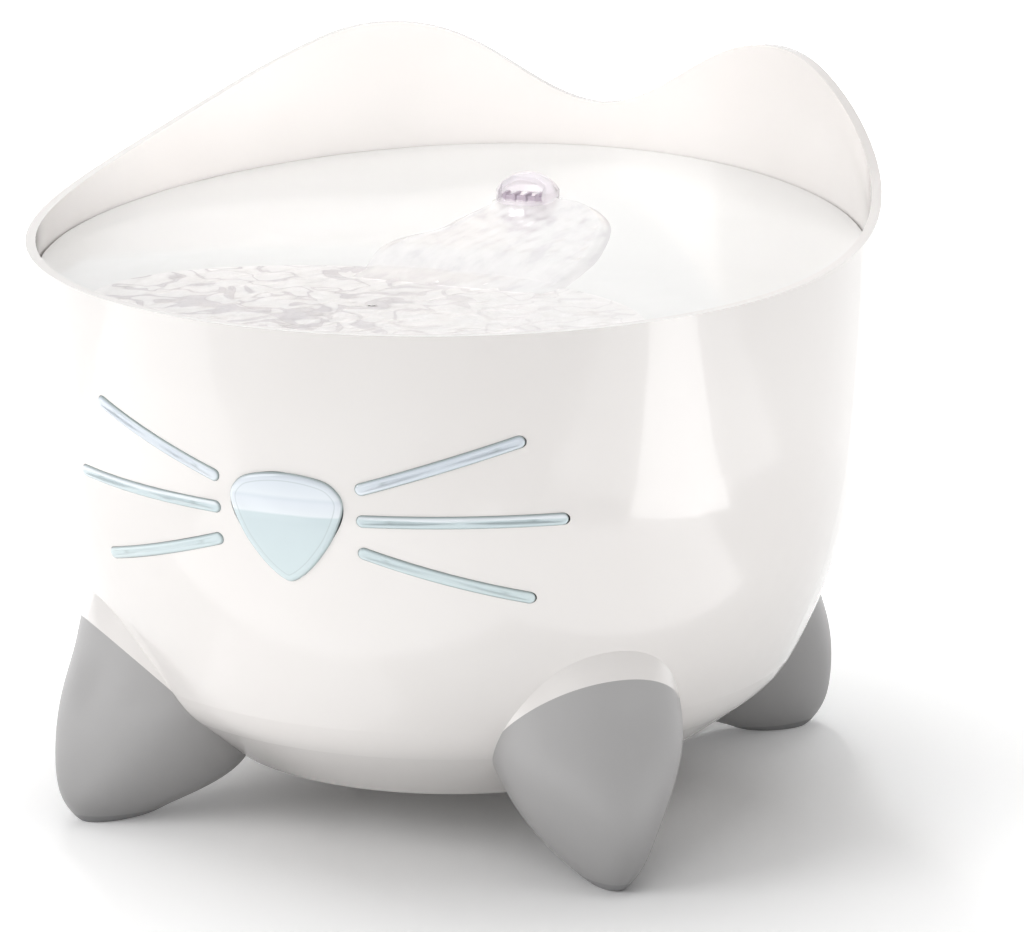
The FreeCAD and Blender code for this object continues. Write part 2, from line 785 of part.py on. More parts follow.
def make_dish():
    surface = dish_surface()
    slab = shaped("dish_slab_space", surface.extrude(FreeCAD.Vector(0, 0, -size["dish_wall"])))
    deep = shaped("dish_skirt_space",
                  surface.extrude(FreeCAD.Vector(0, 0, -size["ledge_height"])))
    side = {"radius_low": "dish_bottom_radius", "radius_high": "dish_top_radius",
            "height": "dish_top - ledge_height"}
    disc = cone("dish_disc", z="ledge_height", **side)
    hull = cone("dish_hull", z="ledge_height", **side)
    core = cone("dish_core", "dish_bottom_radius - skirt_wall", "dish_top_radius - skirt_wall",
                "dish_top - ledge_height", z="ledge_height")
    skirt = common("dish_skirt", [cut("dish_band", hull, [core]), deep])
    # the hollow dips below the skirt's foot, so the slab keeps its own lower part
    low = cylinder("dish_low_disc", "dish_bottom_radius - skirt_wall", "ledge_height",
                   z="0.5*ledge_height")
    plate = common("dish_plate", [slab, fused("dish_reach", [disc, low])])
    where = {"y": "spout_place"}
    collar = cylinder("collar", "collar_radius", "collar_length - 0.5*dish_wall",
                      z="collar_bottom", **where)
    seat = cylinder("spout_seat", "spout_seat_radius", "1.25*dish_wall",
                    z="spout_seat_height - 1.25*dish_wall", **where)
    above = cylinder("above_seat", "spout_seat_radius", "collar_length",
                     z="spout_seat_height", **where)
    bore = cylinder("collar_bore", "stem_radius + fit_gap", "3*collar_length",
                    z="collar_bottom - collar_length", **where)
    notch = block("cord_notch", "cord_gap_width", "bowl_radius",
                  "grommet_rise + grommet_hole_radius + grommet_lip + 2*fit_gap + dish_wall",
                  "0 - 0.5*cord_gap_width", "drain_radius - 3", "ledge_height - dish_wall")
    turns = [size["drain_pitch"] * (index - (DRAINS - 1) / 2.0) for index in range(DRAINS)]
    drains = shaped("drains", Part.Compound([drain_slot(turn) for turn in turns]))
    body = fused("dish_body", [plate, skirt, collar, seat])
    cut("drinking_dish", body, [above, bore, notch, drains], is_part=True)


# Spout and riser

def make_spout():
    floor = "hood_bottom + stem_wall"
    corners = [
        ("stem_radius - stem_wall", "stem_bottom"),
        ("stem_radius", "stem_bottom"),
        ("stem_radius", "hood_bottom"),
        ("spout_radius", "hood_bottom"),
        ("spout_radius", "spout_shoulder", "dome_outer", 1),
        ("0", "spout_top"),
        ("0", "spout_top - spout_wall", "dome_inner", -1),
        ("spout_radius - spout_wall", "spout_shoulder"),
        ("spout_radius - spout_wall", floor),
        ("stem_radius - stem_wall", floor),
    ]
    hood = turned("spout_form", corners, is_part=False, y="spout_place")
    mouth = block("spout_mouth", "spout_mouth_width", "spout_radius", "spout_mouth_height",
                  "0 - 0.5*spout_mouth_width", "spout_place - spout_radius - 3", floor)
    cut("spout_hood", hood, [mouth], is_part=True)
    plates = []
    for index in range(VANES):
        step = "%g*spout_mouth_width" % ((index + 0.5) / VANES - 0.5)
        plates.append(block("vane_%d" % index, "vane_thickness", "vane_depth",
                            "spout_shoulder - hood_bottom - stem_wall - snug_gap",
                            step + " - 0.5*vane_thickness", "spout_place - spout_radius + 1.8",
                            floor))
    plates.append(block("vane_bar", "spout_mouth_width", "1.6", "1",
                        "0 - 0.5*spout_mouth_width", "spout_place - spout_radius + 3.4", floor))
    space = cylinder("vane_space", "spout_radius - spout_wall - snug_gap", "20",
                     y="spout_place", z="stem_bottom")
    common("spout_vanes", [fused("vane_comb", plates), space], is_part=True)
    ring("spout_ring", "stem_radius + fit_gap", "spout_radius - snug_gap", "spout_seat_height",
         "hood_bottom", y="spout_place")


def make_riser():
    inner = "riser_radius - riser_wall"
    ring("riser_tube", inner, "riser_radius", "pump_top", "riser_top", y="spout_place")
    ring("riser_seal", "riser_radius", "stem_radius", "riser_top - riser_seal_height",
         "riser_top", y="spout_place")


# Filter

def slotted_ring(label, inner, outer, bottom, top, slots):
    """Ring plate with a ring of radial slots."""
    plate = ring(label + "_plate", inner, outer, bottom, top, False, y="spout_place")
    slot = block(label + "_slot", "filter_radius - hub_outer - 10", "slot_width", "20",
                 "hub_outer + 4", "0 - 0.5*slot_width", bottom + " - 8")
    doc.recompute()
    cutters = []
    for index in range(slots):
        copy = slot.Shape.copy()
        copy.rotate(FreeCAD.Vector(0, 0, 0), Z_AXIS, 360.0 * (index + 0.5) / slots)
        copy.translate(FreeCAD.Vector(0, size["spout_place"], 0))
        cutters.append(copy)
    return plate, shaped(label + "_slots", Part.Compound(cutters))


def make_filter():
    floor_top = "basket_floor_height + basket_wall"
    pad_top = floor_top + " + filter_pad_thickness"
    plate, slots = slotted_ring("basket", "hub_inner", "filter_radius", "basket_floor_height",
                                floor_top, FILTER_SLOTS)
    wall = ring("basket_side", "filter_radius - basket_wall", "filter_radius",
                "basket_floor_height", "basket_top", False, y="spout_place")
    hub = ring("basket_hub", "hub_inner", "hub_outer", "pump_top", "basket_top", False,
               y="spout_place")
    open_plate = cut("basket_floor", plate, [slots])
    fused("filter_basket", [open_plate, wall, hub], is_part=True)
    inner = "hub_outer + fit_gap"
    outer = "filter_radius - basket_wall - fit_gap"
    ring("filter_pad", inner, outer, floor_top, pad_top, y="spout_place")
    ring("filter_core", inner, outer, pad_top, "basket_top", y="spout_place")
    lid, lid_slots = slotted_ring("lid", "hub_inner", "filter_radius", "basket_top",
                                  "basket_top + lid_thickness", FILTER_SLOTS)
    cut("filter_lid", lid, [lid_slots], is_part=True)


# Pump

def rounded_bar(label, shrink, length, start, is_part=False):
    """Bar along X with the pump's rounded section, made smaller all round by shrink."""
    half = "0.5*pump_width - " + shrink
    flat = half + " - pump_corner"
    low = "0 - 0.5*pump_width + " + shrink
    low_flat = low + " + pump_corner"
    corners = [
        (low_flat, low),
        (flat, low, "pump_corner", 1),
        (half, low_flat),
        (half, flat, "pump_corner", 1),
        (flat, half),
        (low_flat, half, "pump_corner", 1),
        (low, flat),
        (low, low_flat, "pump_corner", 1),
    ]
    return padded(label, corners, length, "YZ_Plane", is_part,
                  x=start, y="pump_axis_place", z="pump_axis_height")


def along_pump(label, radius, length, start):
    return cylinder(label, radius, length, Y_AXIS, 90.0,
                    start, "pump_axis_place", "pump_axis_height")


def make_housing():
    casing = rounded_bar("casing", "0", "pump_rear_length + pump_front", "0 - pump_rear_length")
    nipple = cylinder("nipple", "riser_radius - riser_wall", "outlet_height + 6",
                      y="spout_place", z="pump_top - 6")
    chamber = along_pump("chamber", "chamber_radius", "chamber_depth", "0 - pump_front")
    outlet = cylinder("outlet", "outlet_bore_radius", "0.5*pump_height + outlet_height + 5",
                      y="spout_place", z="pump_axis_height")
    well = along_pump("well", "well_radius", "well_depth + 1", "0 - pump_front - well_depth")
    seat = along_pump("rear_seat", "bush_radius", "bush_length + 1",
                      "0 - pump_front - well_depth - bush_length")
    hollow = block("motor_hollow", "pump_rear_length - pump_front - casing_wall",
                   "pump_width - 2*casing_wall", "pump_height - 2*casing_wall",
                   "0 - pump_rear_length",
                   "pump_axis_place - 0.5*pump_width + casing_wall",
                   "pump_bottom + casing_wall")
    tube = along_pump("well_tube", "well_radius + well_wall",
                      "pump_rear_length - pump_front - casing_wall - potting_thickness",
                      "0 - pump_rear_length + potting_thickness")
    motor_space = cut("motor_space", hollow, [tube])
    body = fused("housing_body", [casing, nipple])
    cut("pump_housing", body, [chamber, outlet, well, seat, motor_space], is_part=True)


def make_motor():
    half = "0.5*pump_width - casing_wall"
    low = "pump_axis_height - 0.5*pump_height + casing_wall"
    side = "pump_axis_place - 0.5*pump_width + casing_wall"
    width = "pump_width - 2*casing_wall"
    core_start = "0 - pump_rear_length + potting_thickness + coil_wall + 1"
    stack = block("core_stack", "core_length", width, "pump_height - 2*casing_wall",
                  core_start, side, low)
    bore = along_pump("core_bore", "well_radius + well_wall", "pump_rear_length",
                      "0 - pump_rear_length")
    window = block("core_window", "core_length", "coil_width", "coil_wall",
                   core_start, "pump_axis_place - 0.5*coil_width", low + " + yoke_height")
    cut("stator_core", stack, [bore, window], is_part=True)
    winding = block("winding", "core_length + 2*coil_wall", "coil_width",
                    "yoke_height + coil_wall", core_start + " - coil_wall",
                    "pump_axis_place - 0.5*coil_width", low)
    yoke = block("yoke", "core_length", "coil_width", "yoke_height", core_start,
                 "pump_axis_place - 0.5*coil_width", low)
    coil_bore = along_pump("coil_bore", "well_radius + well_wall", "pump_rear_length",
                           "0 - pump_rear_length")
    cut("stator_coil", winding, [yoke, coil_bore], is_part=True)
    named(block("potting_cap", "potting_thickness", width, "pump_height - 2*casing_wall",
                "0 - pump_rear_length", side, low), "potting_cap")
    turned("pump_cable_gland", [
        ("gland_bore", "0"),
        ("gland_radius", "0"),
        ("gland_radius", "1.5"),
        ("gland_radius - 1", "6"),
        ("gland_bore", "6"),
    ], x="0 - pump_rear_length", y="pump_axis_place - 6", z="pump_axis_height + 9",
        axis=Y_AXIS, turn=-90.0)


def ring_along(label, inner, outer, length, start):
    """Ring round the motor axis."""
    return ring(label, inner, outer, "0", length, x=start, y="pump_axis_place",
                z="pump_axis_height", axis=Y_AXIS, turn=90.0)


def make_wet_end():
    rear = "0 - pump_front - well_depth - bush_length"
    ring_along("rear_bush", "shaft_radius", "bush_radius", "bush_length", rear)
    ring_along("front_bush", "shaft_radius", "bush_radius", "volute_cover_thickness",
               "pump_front")
    shaft = cylinder("impeller_shaft", "shaft_radius",
                     "2*pump_front + well_depth + bush_length + volute_cover_thickness",
                     Y_AXIS, 90.0, rear, "pump_axis_place", "pump_axis_height")
    named(shaft, "impeller_shaft")
    disc = along_pump("cover_disc", "chamber_radius + 1.6", "volute_cover_thickness",
                      "pump_front")
    hole = along_pump("bush_hole", "bush_radius", "volute_cover_thickness", "pump_front")
    doc.recompute()
    inlets = []
    for index in range(INLETS):
        angle = 2.0 * math.pi * index / INLETS
        point = FreeCAD.Vector(size["pump_front"] - 1.0,
                               size["pump_axis_place"] + size["inlet_place"] * math.cos(angle),
                               size["pump_axis_height"] + size["inlet_place"] * math.sin(angle))
        inlets.append(Part.makeCylinder(size["inlet_radius"], 10.0, point, X_AXIS))
    cut("volute_cover", disc, [hole, shaped("inlets", Part.Compound(inlets))], is_part=True)


def make_impeller():
    bore = "shaft_radius + running_gap"
    start = "0 - pump_front - hub_step"
    hub = ring("impeller_hub", bore, "hub_radius", "0", "chamber_depth + hub_step - end_gap",
               False, x=start, y="pump_axis_place", z="pump_axis_height", axis=Y_AXIS, turn=90.0)
    doc.recompute()
    blades = []
    inner = size["hub_radius"] - 0.5
    for index in range(BLADES):
        blade = Part.makeBox(size["blade_height"], size["blade_radius"] - inner,
                             size["blade_thickness"],
                             FreeCAD.Vector(-size["blade_height"] / 2.0, inner,
                                            -size["blade_thickness"] / 2.0))
        blade.rotate(FreeCAD.Vector(0, 0, 0), X_AXIS, 360.0 * index / BLADES)
        blade.translate(FreeCAD.Vector(0, size["pump_axis_place"], size["pump_axis_height"]))
        blades.append(blade)
    fused("impeller", [hub, shaped("blades", Part.Compound(blades))], is_part=True)
    ring_along("rotor_magnet", bore, "rotor_radius", "rotor_length",
               "0 - pump_front - hub_step - rotor_length")


def make_pump_cover():
    cap = rounded_bar("cap_form", "cover_step", "cover_length", "pump_front")
    space = rounded_bar("cap_space", "cap_space_step", "cover_length - cover_wall",
                        "pump_front")
    slots = []
    for index in range(GRILLE_SLOTS):
        across = "%g*pump_width" % (0.8 * ((index + 0.5) / GRILLE_SLOTS - 0.5))
        slots.append(block("grille_%d" % index, "cover_wall + 2", "slot_width",
                           "0.6*pump_height", "pump_front + cover_length - cover_wall - 1",
                           "pump_axis_place + " + across + " - 0.5*slot_width",
                           "pump_axis_height - 0.3*pump_height"))
    cut("pump_cover", cap, [space] + slots, is_part=True)
    rounded_bar("intake_foam", "foam_step",
                "cover_length - cover_wall - volute_cover_thickness - fit_gap",
                "pump_front + volute_cover_thickness + fit_gap", is_part=True)


def make_cups():
    cups = []
    corners = [
        ("0", "0"),
        ("cup_radius", "0"),
        ("cup_radius", "0.8"),
        ("0.4*cup_radius", "4"),
        ("0.4*cup_radius", "pump_bottom - cavity_base - 2"),
        ("0.7*cup_radius", "pump_bottom - cavity_base"),
        ("0", "pump_bottom - cavity_base"),
    ]
    places = ["pump_front - cup_front_inset", "cup_rear_inset - pump_rear_length"]
    for column, column_place in enumerate(places):
        for row in (-0.5, 0.5):
            name = "cup_%d_%d" % (column, row > 0)
            cups.append(turned(name, corners, is_part=False, x=column_place,
                               y="pump_axis_place - cup_shift + %g*cup_pitch" % row,
                               z="cavity_base"))
    group = doc.addObject("Part::Compound", "suction_cups")
    group.Links = cups
    named(group, "suction_cups")


# Checks and files

def check_document():
    for item in doc.Objects:
        if "Invalid" in item.State or "Error" in item.State:
            raise RuntimeError("failed object: %s %s" % (item.Label, item.State))
    for item in parts:
        shape = item.Shape
        if shape.isNull() or not shape.isValid() or shape.Volume <= 0.0:
            raise RuntimeError("bad shape: " + item.Label)


def write_parts():
    os.makedirs("parts", exist_ok=True)
    for item in parts:
        item.Shape.exportStep(os.path.join("parts", item.Label + ".step"))
        box = item.Shape.BoundBox
        print("%-24s solids %d volume %9.1f  z %.1f to %.1f" % (
            item.Label, len(item.Shape.Solids), item.Shape.Volume, box.ZMin, box.ZMax))


def main():
    make_sizes()
    forms = {name: bowl_form(name) for name in ("outer", "cavity", "pane", "gasket", "flange")}
    doc.recompute()
    leg_shapes = leg_pieces()
    openings = make_windows(forms)
    make_bowl(forms, openings, leg_shapes)
    make_feet(forms, leg_shapes)
    make_grommet(forms)
    make_dish()
    make_spout()
    make_riser()
    make_filter()
    make_housing()
    make_motor()
    make_wet_end()
    make_impeller()
    make_pump_cover()
    make_cups()
    doc.recompute()
    check_document()
    write_parts()


main()
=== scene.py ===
import math

import bpy
import numpy as np
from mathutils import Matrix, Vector


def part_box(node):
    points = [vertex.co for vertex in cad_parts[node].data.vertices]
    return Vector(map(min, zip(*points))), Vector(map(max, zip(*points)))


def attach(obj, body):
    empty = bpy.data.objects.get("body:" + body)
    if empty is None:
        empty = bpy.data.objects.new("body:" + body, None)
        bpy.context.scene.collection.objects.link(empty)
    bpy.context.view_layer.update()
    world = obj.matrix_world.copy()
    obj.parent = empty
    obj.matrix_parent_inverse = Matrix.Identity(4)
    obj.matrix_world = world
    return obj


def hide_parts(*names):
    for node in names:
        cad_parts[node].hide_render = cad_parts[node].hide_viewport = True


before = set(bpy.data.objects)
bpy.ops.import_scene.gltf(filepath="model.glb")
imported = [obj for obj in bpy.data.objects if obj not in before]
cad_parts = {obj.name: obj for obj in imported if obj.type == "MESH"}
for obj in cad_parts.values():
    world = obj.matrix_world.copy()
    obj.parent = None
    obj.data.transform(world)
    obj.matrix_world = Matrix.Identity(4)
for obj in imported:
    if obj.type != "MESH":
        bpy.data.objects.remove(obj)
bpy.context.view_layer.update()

MM = 0.001

# Camera
CAMERA_PLACE = (0.4522, -1.11095, 0.39522)
CAMERA_AIM = (-0.35354, 0.90093, -0.25167)
LENS_MM = 166.8
SENSOR_MM = 36.0

# Bowl side outline, in millimetres
BOWL_RADIUS = 110.0
UPRIGHT_HEIGHT = 156.3
SIDE_ARCS = ((697.0, 4.41), (174.0, 26.36), (25.5, 52.65))

# Dish surface, in millimetres
DISH_FRONT = 137.3
DISH_REAR = 149.7
DISH_POWER = 2.2
HOLLOW_DEPTH = 11.0
HOLLOW_PLACE = -52.0
HOLLOW_HALF_WIDTH = 82.0
HOLLOW_HALF_LENGTH = 57.0
WATER_LEVEL = 137.3

# Windows, in millimetres round the front and up
NOSE_HALF = [(0.0, 108.0), (7.5, 107.2), (12.4, 105.2), (14.85, 100.5), (12.0, 92.3),
             (8.0, 86.3), (4.9, 82.9), (2.1, 80.7), (0.0, 79.9)]
WHISKERS = [
    [(19.4, 105.1), (38.2, 111.1), (57.5, 117.2)],
    [(19.45, 97.0), (42.0, 97.2), (67.4, 97.3)],
    [(19.35, 88.7), (37.2, 83.0), (57.9, 77.2)],
]
WHISKER_WIDTH = 3.2
WINDOW_DEPTH = 5.0
# Extra rings inside the nose lens's edge, in millimetres from its outline, that carry its thin line of
# painted shade
NOSE_EDGE_LINES = (1.75, 1.95, 2.15, 2.6)

# Soft pieces, in metres
FLEECE_HOLE_RADIUS = 0.0088

# Floor and surroundings; the floor turns white with distance from the shadow's middle, in metres
FLOOR_COLOUR = (0.80, 0.81, 0.81, 1.0)
FLOOR_SHOWN = (1.0, 1.0, 1.0, 1.0)
WORLD_LIGHT = 0.409
GLOW_MIDDLE = (-0.045, 0.040, 0.0)
GLOW_START = 0.06
GLOW_END = 0.39


# Materials

class Material:
    """A node material, with short calls for the nodes it is made of."""

    def __init__(self, name):
        self.material = bpy.data.materials.new(name)
        self.material.use_nodes = True
        self.nodes = self.material.node_tree.nodes
        self.links = self.material.node_tree.links
        self.shader = self.nodes["Principled BSDF"]

    def add(self, kind, **inputs):
        node = self.nodes.new(kind)
        for name, value in inputs.items():
            socket = node.inputs[name.replace("_", " ")]
            if hasattr(value, "links"):
                self.links.new(value, socket)
            else:
                socket.default_value = value
        return node

    def set(self, **inputs):
        for name, value in inputs.items():
            socket = self.shader.inputs[name.replace("_", " ")]
            if hasattr(value, "links"):
                self.links.new(value, socket)
            else:
                socket.default_value = value
        return self

    def noise(self, scale, detail=2.0, roughness=0.5):
        where = self.nodes.new("ShaderNodeTexCoord")
        node = self.add("ShaderNodeTexNoise", Vector=where.outputs["Object"], Scale=scale,
                        Detail=detail, Roughness=roughness)
        return node.outputs["Fac"]

    def ramp(self, factor, low, high, start=0.3, end=0.7):
        node = self.add("ShaderNodeValToRGB", Fac=factor)
        node.color_ramp.elements[0].position = start
        node.color_ramp.elements[1].position = end
        node.color_ramp.elements[0].color = low
        node.color_ramp.elements[1].color = high
        return node.outputs["Color"]

    def spread(self, factor, low, high):
        node = self.add("ShaderNodeMapRange", Value=factor)
        node.inputs["To Min"].default_value = low
        node.inputs["To Max"].default_value = high
        return node.outputs["Result"]

    def spread_range(self, factor, low, high):
        node = self.add("ShaderNodeMapRange", Value=factor)
        node.inputs["From Min"].default_value = low
        node.inputs["From Max"].default_value = high
        return node.outputs["Result"]

    def value(self, name):
        """Number that the mesh carries at each of its points."""
        node = self.nodes.new("ShaderNodeAttribute")
        node.attribute_name = name
        return node.outputs["Fac"]

    def sum(self, first, second, times=1.0):
        """First times a number, plus second."""
        node = self.nodes.new("ShaderNodeMath")
        node.operation = "MULTIPLY_ADD"
        for socket, value in zip(node.inputs, (first, times, second)):
            if hasattr(value, "links"):
                self.links.new(value, socket)
            else:
                socket.default_value = value
        return node.outputs[0]

    def tint(self, factor, low, high):
        """Colour between low and high, either of which may come from other nodes."""
        node = self.nodes.new("ShaderNodeMix")
        node.data_type = "RGBA"
        self.links.new(factor, node.inputs["Factor"])
        for name, value in (("A", low), ("B", high)):
            socket = [s for s in node.inputs if s.name == name and s.type == "RGBA"][0]
            if hasattr(value, "links"):
                self.links.new(value, socket)
            else:
                socket.default_value = value
        return [s for s in node.outputs if s.type == "RGBA"][0]

    def bump(self, height, distance, strength=1.0):
        node = self.add("ShaderNodeBump", Height=height, Distance=distance, Strength=strength)
        self.links.new(node.outputs["Normal"], self.shader.inputs["Normal"])
        return self


def sees_background(nodes, links):
    """1 for the rays that show the background: from the camera, in gloss and through glass."""
    path = nodes.new("ShaderNodeLightPath")
    total = path.outputs["Is Camera Ray"]
    for name in ("Is Glossy Ray", "Is Transmission Ray"):
        step = nodes.new("ShaderNodeMath")
        step.operation = "MAXIMUM"
        links.new(total, step.inputs[0])
        links.new(path.outputs[name], step.inputs[1])
        total = step.outputs[0]
    return total


def rgba(red, green, blue):
    return (red, green, blue, 1.0)


def moulded(name, low, high, roughness=0.2, grain=0.00002, scale=900.0, coat=0.0):
    """Moulded plastic: a faint cloud of colour, uneven gloss and a fine skin."""
    made = Material(name)
    cloud = made.noise(14.0, 3.0)
    made.set(Base_Color=made.ramp(cloud, rgba(*low), rgba(*high)))
    made.set(Roughness=made.spread(made.noise(60.0, 4.0), roughness * 0.8, roughness * 1.25))
    made.set(Coat_Weight=coat, Coat_Roughness=0.04)
    made.bump(made.noise(scale, 3.0), grain, 0.6)
    return made.material


def let_light_through(made):
    """Light from the lamps goes straight through, so what lies below stays lit."""
    path = made.nodes.new("ShaderNodeLightPath")
    open_way = made.add("ShaderNodeBsdfTransparent", Color=rgba(0.96, 0.955, 0.96))
    both = made.add("ShaderNodeMixShader")
    made.links.new(path.outputs["Is Shadow Ray"], both.inputs[0])
    made.links.new(made.shader.outputs[0], both.inputs[1])
    made.links.new(open_way.outputs[0], both.inputs[2])
    made.links.new(both.outputs[0], made.nodes["Material Output"].inputs["Surface"])
    return made.material


def clear_plastic(name, colour, roughness=0.05, clear=0.92):
    made = Material(name)
    made.set(Base_Color=rgba(*colour), Transmission_Weight=clear, IOR=1.4)
    made.set(Roughness=made.spread(made.noise(120.0), roughness * 0.6, roughness * 1.6))
    made.bump(made.noise(300.0, 2.0), 0.00003, 0.5)
    return let_light_through(made)


def make_materials():
    return {
        "white": moulded("white_gloss", (0.80, 0.765, 0.745), (0.83, 0.80, 0.78), 0.16,
                         0.000012, 1200.0, 0.5),
        "dish": moulded("dish_gloss", (0.80, 0.795, 0.785), (0.83, 0.825, 0.815), 0.10,
                        0.000008, 1200.0, 0.4),
        "foot": moulded("foot_satin", (0.385, 0.378, 0.378), (0.42, 0.412, 0.412), 0.36,
                        0.00004, 2600.0),
        "pad": moulded("pad_rubber", (0.34, 0.335, 0.34), (0.38, 0.375, 0.38), 0.65,
                       0.00006, 2000.0),
        "seal": moulded("silicone", (0.62, 0.63, 0.64), (0.70, 0.71, 0.72), 0.5, 0.00003),
        "black": moulded("black_rubber", (0.02, 0.02, 0.021), (0.03, 0.03, 0.031), 0.6,
                         0.00005),
        "pump": moulded("pump_black", (0.028, 0.028, 0.032), (0.04, 0.04, 0.045), 0.35,
                        0.00004, 1500.0),
        "resin": moulded("resin", (0.03, 0.03, 0.03), (0.05, 0.048, 0.045), 0.25, 0.0001, 90.0),
        "filter": moulded("filter_white", (0.78, 0.79, 0.80), (0.84, 0.85, 0.86), 0.35),
        "media": moulded("media", (0.10, 0.10, 0.105), (0.24, 0.24, 0.245), 0.8, 0.0008, 700.0),
        "fleece": moulded("fleece", (0.78, 0.78, 0.76), (0.88, 0.88, 0.87), 0.95, 0.0008, 1500.0),
        "foam": moulded("foam", (0.02, 0.02, 0.02), (0.10, 0.10, 0.10), 0.9, 0.0012, 900.0),
        "steel": moulded("steel", (0.42, 0.42, 0.43), (0.52, 0.52, 0.53), 0.4),
        "copper": moulded("copper", (0.55, 0.22, 0.10), (0.66, 0.28, 0.13), 0.35),
        "ceramic": moulded("ceramic", (0.82, 0.82, 0.81), (0.88, 0.88, 0.87), 0.15),
        "magnet": moulded("magnet", (0.05, 0.05, 0.052), (0.08, 0.08, 0.083), 0.5),
        "impeller": moulded("impeller", (0.30, 0.36, 0.43), (0.34, 0.40, 0.47), 0.4),
        "tube": clear_plastic("tube", (0.93, 0.96, 0.97)),
        # Vanes: mauve tint, made darker than the hood as painted shade inside the spout's mouth
        "vane": clear_plastic("vane_clear", (0.50, 0.44, 0.50), 0.2, 0.25),
        "spout": clear_plastic("spout_clear", (0.93, 0.90, 0.925), 0.04, 0.70),
    }


NODE_MATERIALS = {
    "reservoir_bowl": "white", "drinking_dish": "dish",
    "foot_front_left": "foot", "foot_front_right": "foot", "foot_rear_left": "foot",
    "foot_rear_right": "foot", "foot_pads": "pad",
    "window_gasket": "seal", "cord_grommet": "black",
    "spout_hood": "spout", "spout_vanes": "vane", "spout_ring": "seal",
    "riser_tube": "tube", "riser_seal": "seal",
    "filter_basket": "filter", "filter_lid": "filter", "filter_pad": "fleece",
    "filter_core": "media", "pump_housing": "pump", "pump_cover": "pump",
    "volute_cover": "pump", "potting_cap": "resin", "pump_cable_gland": "black",
    "stator_core": "steel", "stator_coil": "copper", "rear_bush": "black",
    "front_bush": "black", "impeller_shaft": "ceramic", "impeller": "impeller",
    "rotor_magnet": "magnet", "intake_foam": "foam", "suction_cups": "black",
}


def dress_nodes(materials):
    for node, key in NODE_MATERIALS.items():
        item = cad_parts[node]
        item.data.materials.clear()
        item.data.materials.append(materials[key])


# Meshes

def mesh_object(name, points, faces, material, body, scale=MM, values=None):
    """Mesh that rides on a body; values are named numbers for each point, for its material."""
    mesh = bpy.data.meshes.new(name)
    mesh.from_pydata([tuple(scale * c for c in point) for point in points], [], faces)
    mesh.update()
    for key, numbers in (values or {}).items():
        layer = mesh.attributes.new(key, "FLOAT", "POINT")
        layer.data.foreach_set("value", numbers)
    mesh.polygons.foreach_set("use_smooth", [True] * len(mesh.polygons))
    item = bpy.data.objects.new(name, mesh)
    bpy.context.scene.collection.objects.link(item)
    item.data.materials.append(material)
    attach(item, body)
    return item


def grid_faces(rows, columns, closed=False):
    """Faces of a grid of points stored row by row; closed joins the last column to the first."""
    faces = []
    for row in range(rows - 1):
        for column in range(columns if closed else columns - 1):
            after = (column + 1) % columns
            faces.append((row * columns + column, row * columns + after,
                          (row + 1) * columns + after, (row + 1) * columns + column))
    return faces


def side_radius(height):
    """Outer radius of the bowl at a height, in millimetres."""
    across = BOWL_RADIUS - SIDE_ARCS[0][0]
    up = UPRIGHT_HEIGHT
    start = 0.0
    if height >= up:
        return BOWL_RADIUS
    for index, (radius, turn) in enumerate(SIDE_ARCS):
        if index:
            change = SIDE_ARCS[index - 1][0] - radius
            across += change * math.cos(start)
            up -= change * math.sin(start)
        end = math.radians(turn)
        if height >= up - radius * math.sin(end):
            return across + math.sqrt(radius ** 2 - (up - height) ** 2)
        start = end
    low_radius = across + radius * math.cos(end)
    return low_radius - (up - radius * math.sin(end) - height) * math.tan(end)


def on_wall(across, height, out):
    """Point on the front wall, moved out square to the axis, in millimetres."""
    angle = math.asin(BOWL_RADIUS * math.sin(across / BOWL_RADIUS) / side_radius(height))
    radius = side_radius(height) + out
    return (radius * math.sin(angle), -radius * math.cos(angle), height)


def smooth_outline(points, steps):
    """Closed Catmull-Rom curve through the points."""
    count = len(points)
    curve = []
    for index in range(count):
        a, b, c, d = (np.array(points[(index + k - 1) % count]) for k in range(4))
        for step in range(steps):
            t = step / steps
            curve.append(0.5 * (2 * b + (c - a) * t + (2 * a - 5 * b + 4 * c - d) * t * t
                                + (3 * b - a - 3 * c + d) * t ** 3))
    return np.array(curve)


def lens_rings(outline, shrinks, outs):
    """Rings of an outline moved inwards by each shrink and out of the wall by each out."""
    centre = outline.mean(0)
    ahead = np.roll(outline, -1, 0) - np.roll(outline, 1, 0)
    normal = np.stack([-ahead[:, 1], ahead[:, 0]], 1)
    normal /= np.linalg.norm(normal, axis=1)[:, None]
    if ((centre - outline) * normal).sum() < 0:
        normal = -normal
    points = []
    for shrink, out in zip(shrinks, outs):
        ring = outline + normal * shrink
        points += [on_wall(across, height, out) for across, height in ring]
    return points, len(outline), on_wall(centre[0], centre[1], outs[-1])


def window_lens(name, outline, depth, material, proud=0.9, edge=1.3, inner=()):
    """A window with a rounded edge that stands a little proud and fills its slot."""
    turns = [math.pi / 2 * step / 5 for step in range(6)]
    shrinks = [0.04, 0.04] + [0.04 + edge * (1 - math.cos(t)) for t in turns[1:]] + list(inner)
    outs = [-depth, 0.0] + [proud * math.sin(t) for t in turns[1:]] + [proud] * len(inner)
    points, count, centre = lens_rings(outline, shrinks, outs)
    faces = grid_faces(len(shrinks), count, True)
    points.append(centre)
    last = (len(shrinks) - 1) * count
    for column in range(count):
        faces.append((last + column, last + (column + 1) % count, len(points) - 1))
    insets = [shrink for shrink in shrinks for _ in range(count)] + [shrinks[-1] + 3.0]
    return mesh_object(name, points, faces, material, "reservoir", values={"inset": insets})


# Dish and water

